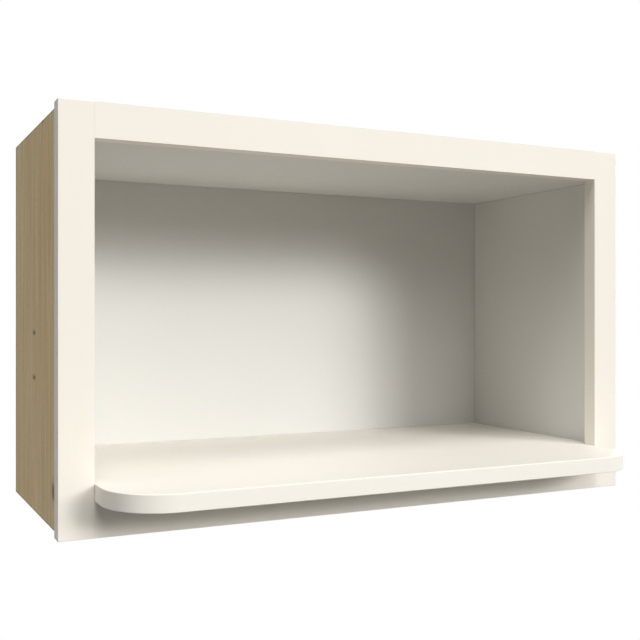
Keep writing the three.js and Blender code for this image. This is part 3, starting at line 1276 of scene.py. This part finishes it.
@dataclass
class Screws:
    """All screws, grown from one tree: a turned body, a thread wound on it and a square drive."""

    shank_radius: float = 1.75 * MM
    point_length: float = 6.0 * MM
    tip_radius: float = 0.12 * MM
    drive_across: float = 3.2 * MM
    drive_depth: float = 1.7 * MM
    thread_radius: float = 0.52 * MM
    thread_pitch: float = 1.9 * MM
    thread_steps: int = 14
    threaded_share: float = 0.62
    sides: int = 24

    def build(self) -> None:
        """Makes the frame's, the shelf's and the back's screws, a piece for each of the three."""
        zinc = ZINC.material()
        tree = self.tree(titled(self) | titled(PAN_HEAD) | {"Length": 0.0})
        groups = {
            "frame_screws": ("rail_", PAN_HEAD),
            "shelf_screws": ("shelf_screw", PAN_HEAD),
            "back_screws": ("back_screw", FLAT_HEAD),
        }
        for name, (mark, head) in groups.items():
            nodes = sorted(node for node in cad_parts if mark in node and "screw" in node)
            seats = [Seat.of(node) for node in nodes]
            mesh = bpy.data.meshes.new(name)
            mesh.from_pydata([seat.head for seat in seats], [], [])
            ways = mesh.attributes.new("way", "FLOAT_VECTOR", "POINT")
            ways.data.foreach_set("vector", [number for seat in seats for number in seat.way])
            values = titled(self) | titled(head) | {"Length": seats[0].length, "Material": zinc}
            made = grown(name, mesh, tree, values)
            smooth_below(made.data, TURNED_SMOOTH_ANGLE)
            hand_over(made, Slot.ZINC_STEEL, *nodes)

    def tree(self, sizes: dict[str, Any]) -> bpy.types.NodeTree:
        """Makes the tree: one screw on +Z, then a copy turned to its way at each seat.

        Args:
            sizes: The sizes that it has inputs for.

        Returns:
            The tree.
        """
        s, given = shape_tree("turned_screw", sizes)
        threaded = s.add("GeometryNodeMeshBoolean", operation="UNION", solver="MANIFOLD")
        for part in (self.turned_body(s, given), self.thread(s, given)):
            s.feed(threaded.inputs["Mesh 2"], part)
        across, deep = given["Drive Across"], s.times(given["Drive Depth"], 2.0)
        drive = s.out("GeometryNodeMeshCube", {"Size": s.vector(across, across, deep)})
        cut = {"operation": "DIFFERENCE", "solver": "MANIFOLD"}
        parts = {"Mesh 1": threaded.outputs[0], "Mesh 2": drive}
        screw = s.out("GeometryNodeMeshBoolean", parts, **cut)
        way = s.out("GeometryNodeInputNamedAttribute", {"Name": "way"}, data_type="FLOAT_VECTOR")
        turn = s.out("FunctionNodeAlignRotationToVector", {"Vector": way}, axis="Z")
        seats = {"Points": given["Geometry"], "Instance": screw, "Rotation": turn}
        return s.growing(s.out("GeometryNodeInstanceOnPoints", seats), given["Material"])

    def turned_body(self, s: NodeSketch, given: Any) -> Any:
        """Turns the head, the shank and the point as one closed body.

        Args:
            s: The tree's sketch.
            given: The tree's inputs.

        Returns:
            The body.
        """
        point_start = s.math("SUBTRACT", given["Length"], given["Point Length"])
        rings = [
            (0.0, given["Head Top Radius"]),
            (given["Crown"], given["Head Radius"]),
            (given["Rim"], given["Head Radius"]),
            (given["Neck"], given["Shank Radius"]),
            (point_start, given["Shank Radius"]),
            (given["Length"], given["Tip Radius"]),
        ]
        along = s.listed("FLOAT", [distance for distance, _ in rings])
        radius = s.listed("FLOAT", [size for _, size in rings])
        line = s.out("GeometryNodeMeshLine", {"Count": len(rings), "Offset": (0, 0, MM)})
        places = {"Geometry": line, "Position": s.vector(z=along)}
        placed = s.out("GeometryNodeSetPosition", places)
        axis = s.out("GeometryNodeMeshToCurve", {"Mesh": placed})
        return s.swept(axis, s.circle(given["Sides"]), radius)

    def thread(self, s: NodeSketch, given: Any) -> Any:
        """Winds a three-cornered wire on the shank, up to where the point starts.

        Args:
            s: The tree's sketch.
            given: The tree's inputs.

        Returns:
            The wire.
        """
        shank = s.math("SUBTRACT", given["Length"], given["Point Length"])
        reach = s.times(shank, given["Threaded Share"])
        winding = {
            "Resolution": given["Thread Steps"],
            "Rotations": s.math("DIVIDE", reach, given["Thread Pitch"]),
            "Start Radius": given["Shank Radius"],
            "End Radius": given["Shank Radius"],
            "Height": reach,
        }
        spiral = s.out("GeometryNodeCurveSpiral", winding)
        moved = s.lifted(spiral, s.math("SUBTRACT", shank, reach))
        return s.swept(moved, s.circle(3, given["Thread Radius"]))


@dataclass(frozen=True)
class GlueBead:
    """A bead of dried glue: how thick it is, how finely it is drawn, and its lumps' seed."""

    radius: float = 0.9 * MM
    step: float = 1.2 * MM
    sides: int = 8
    lump_scale: float = 160.0
    thinnest: float = 0.25
    swelling: float = 1.1
    seed: float = 11.0


@dataclass
class GlueBlocks:
    """Four three-cornered pine blocks, with the glue that was pressed out round them."""

    easing: float = 0.8 * MM
    gap_share: float = 0.12
    bead: GlueBead = GlueBead()

    def build(self) -> None:
        """Makes the four blocks, each with its beads of glue."""
        pine, glue = PINE.material(), GLUE.material()
        tree = self.bead_tree()
        values = titled(self.bead) | {"Material": glue}
        for level in Level:
            for side in Side:
                node = f"{level.value}_{side.word}_glue_block"
                block = Board(node, Slot.RAW_PINE, pine, easing=self.easing).build()
                paths = self.bead_paths(node, level, side)
                beads = grown(paths.name, paths, tree, values)
                smooth_below(beads.data, BEAD_SMOOTH_ANGLE)
                hand_over(joined(block, beads), Slot.RAW_PINE, node)

    def bead_paths(self, node: str, level: Level, side: Side) -> bpy.types.Mesh:
        """Draws the lines along one block's joints, which leave its corner free.

        Args:
            node: The block's solid.
            level: The end of the cabinet's height.
            side: The side of the cabinet.

        Returns:
            A mesh of edges.
        """
        low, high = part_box(node)
        outer, inner = (high.x, low.x) if side is Side.RIGHT else (low.x, high.x)
        panel, open_face = (low.z, high.z) if level is Level.UPPER else (high.z, low.z)
        gap = self.gap_share * (high.y - low.y)
        points = [
            (inner, low.y, panel),
            (inner, low.y, open_face),
            (outer - side.value * gap, low.y, open_face),
            (outer, low.y + gap, open_face),
            (outer, high.y, open_face),
            (outer, high.y, panel),
            (inner, low.y, panel),
        ]
        mesh = bpy.data.meshes.new(f"{node}_glue")
        mesh.from_pydata(points, [(0, 1), (1, 2), (3, 4), (4, 5), (5, 6)], [])
        return mesh

    def bead_tree(self) -> bpy.types.NodeTree:
        """Makes the tree that lays an uneven bead along each path.

        Returns:
            The tree.
        """
        s, given = shape_tree("glue_bead", titled(self.bead))
        paths = s.out("GeometryNodeMeshToCurve", {"Mesh": given["Geometry"]})
        steps = {"Curve": paths, "Length": given["Step"]}
        even = s.out("GeometryNodeResampleCurve", steps, mode="LENGTH")
        place = {"Vector": s.out("GeometryNodeInputPosition"), "W": given["Seed"]}
        place |= {"Scale": given["Lump Scale"]}
        lumps = s.out("ShaderNodeTexNoise", place, noise_dimensions="4D")
        steepness = 1.5
        swell = s.math("POWER", s.between(lumps, low=0.3, high=0.75, smooth=False), steepness)
        size = s.times(s.line(swell, given["Swelling"], given["Thinnest"]), given["Radius"])
        return s.growing(s.swept(even, s.circle(given["Sides"]), size), given["Material"])


# ---------------------------------------------------------------- Stage and light


@dataclass
class PaleFloor:
    """A pale floor below the cabinet. It keeps the shadow and is white towards its rim."""

    depth: float = 1.5
    half_size: float = 0.95
    pale: Triple = (0.8, 0.8, 0.79)
    mottle: float = 0.03
    glow: float = 0.2
    fade_from: float = 0.35
    fade_to: float = 0.9

    def build(self) -> None:
        """Makes the floor."""
        shape = bmesh.new()
        bmesh.ops.create_grid(shape, x_segments=1, y_segments=1, size=self.half_size)
        bmesh.ops.translate(shape, vec=(0, 0, -self.depth), verts=shape.verts)
        mesh = bpy.data.meshes.new("floor")
        shape.to_mesh(mesh)
        shape.free()
        mesh.materials.append(self.material())
        new_object("floor", mesh)

    def material(self) -> bpy.types.Material:
        """Makes the floor's material: pale to the light, and near white to the camera.

        Returns:
            The material.
        """
        material = bpy.data.materials.new("pale_floor")
        material.use_nodes = True
        nodes = material.node_tree.nodes
        nodes.remove(nodes["Principled BSDF"])
        s = NodeSketch(material.node_tree)
        place = s.add("ShaderNodeTexCoord").outputs["Object"]
        x, y, _ = s.apart(place)
        away = s.vector_math("LENGTH", s.vector(x, y))
        rim = s.between(away, self.fade_from, self.fade_to)
        clouds = s.noise(place, scale=30.0, detail=4.0)
        mottle = s.line(clouds, self.mottle, 1.0 - self.mottle / 2)
        pale = s.blend(1.0, self.pale, s.vector(mottle, mottle, mottle), "MULTIPLY")
        lit = s.out("ShaderNodeBsdfDiffuse", {"Color": pale})
        glow = s.out("ShaderNodeEmission", {"Strength": self.glow})
        white = s.out("ShaderNodeEmission", {"Strength": 1.0})
        near = s.out("ShaderNodeAddShader", {0: lit, 1: glow})
        seen = s.out("ShaderNodeMixShader", {0: rim, 1: near, 2: white})
        camera = s.add("ShaderNodeLightPath").outputs["Is Camera Ray"]
        whole = s.out("ShaderNodeMixShader", {0: camera, 1: lit, 2: seen})
        s.feed(nodes["Material Output"].inputs["Surface"], whole)
        return material


@dataclass(frozen=True)
class Lamp:
    """A large soft lamp far away, which lights every part alike.

    It stands to the right of the cabinet's front by its azimuth and above it by its elevation, and
    is as wide as its spread, all in degrees.
    """

    name: str
    azimuth: float
    elevation: float
    spread: float
    strength: float

    def build(self) -> None:
        """Makes the lamp, turned to the cabinet."""
        azimuth, elevation = math.radians(self.azimuth), math.radians(self.elevation)
        level = math.cos(elevation)
        way = Vector((math.sin(azimuth) * level, -math.cos(azimuth) * level, math.sin(elevation)))
        light = bpy.data.lights.new(self.name, "SUN")
        light.angle = math.radians(self.spread)
        light.energy = self.strength
        new_object(self.name, light).rotation_euler = way.to_track_quat("Z", "Y").to_euler()


@dataclass
class Studio:
    """White surroundings and soft lamps."""

    ambient: float = 0.03
    lamps: tuple[Lamp, ...] = (
        Lamp("high_key_lamp", 27, 21, 16.0, 1.04),
        Lamp("low_key_lamp", 37, 15, 16.0, 1.07),
        Lamp("front_lamp", 5, 38, 40.0, 0.9),
        Lamp("left_lamp", -80, 30, 30.0, 0.74),
        Lamp("top_lamp", -10, 70, 24.0, 1.4),
        Lamp("rear_lamp", 155, 14, 50.0, 1.4),
    )

    def build(self) -> None:
        """Makes the surroundings and the lamps, and sets how colours are shown."""
        bpy.context.scene.view_settings.view_transform = "Standard"
        for lamp in self.lamps:
            lamp.build()
        self.surroundings()

    def surroundings(self) -> None:
        """Makes a world that is white where it is seen and gives the shade a low, even light."""
        world = bpy.data.worlds.new("white_surroundings")
        world.use_nodes = True
        s = NodeSketch(world.node_tree)
        rays = s.add("ShaderNodeLightPath").outputs
        seen = s.math("MAXIMUM", rays["Is Camera Ray"], rays["Is Glossy Ray"])
        seen = s.math("MAXIMUM", seen, rays["Is Transmission Ray"])
        back = world.node_tree.nodes["Background"]
        back.inputs["Color"].default_value = (1, 1, 1, 1)
        s.feed(back.inputs["Strength"], s.line(seen, 1.0 - self.ambient, self.ambient))
        bpy.context.scene.world = world


@dataclass
class PhotoCamera:
    """The camera at the photograph's viewing angle. Its middle is off by pixels of the picture."""

    place: Triple = (-0.5754, -1.2645, -0.18853)
    heading: float = -25.14
    lens: float = 52.06
    sensor: float = 36.0
    middle_right: float = 36.75
    middle_down: float = 1.93
    nearest: float = 0.01

    def build(self) -> None:
        """Makes the camera, with level sight lines, and gives it to the scene."""
        data = bpy.data.cameras.new("photo_camera")
        data.lens = self.lens
        data.sensor_width = self.sensor
        data.shift_x = self.middle_right / PICTURE_WIDTH
        data.shift_y = -self.middle_down / PICTURE_WIDTH
        data.clip_start = self.nearest
        camera = new_object("photo_camera", data)
        camera.location = self.place
        camera.rotation_euler = Euler((math.pi / 2, 0, math.radians(self.heading)))
        bpy.context.scene.camera = camera


# ---------------------------------------------------------------- The whole


def main() -> None:
    """Builds the scene around the frame."""
    logging.basicConfig(level=logging.INFO, format="%(name)s: %(message)s")
    PhotoCamera().build()
    Studio().build()
    PaleFloor().build()
    FaceFrame().build()
    Case().build()
    HangingRails().build()
    GlueBlocks().build()
    MicrowaveShelf().build()
    Screws().build()
    log.info("the cabinet is dressed")


if __name__ == "__main__":
    main()
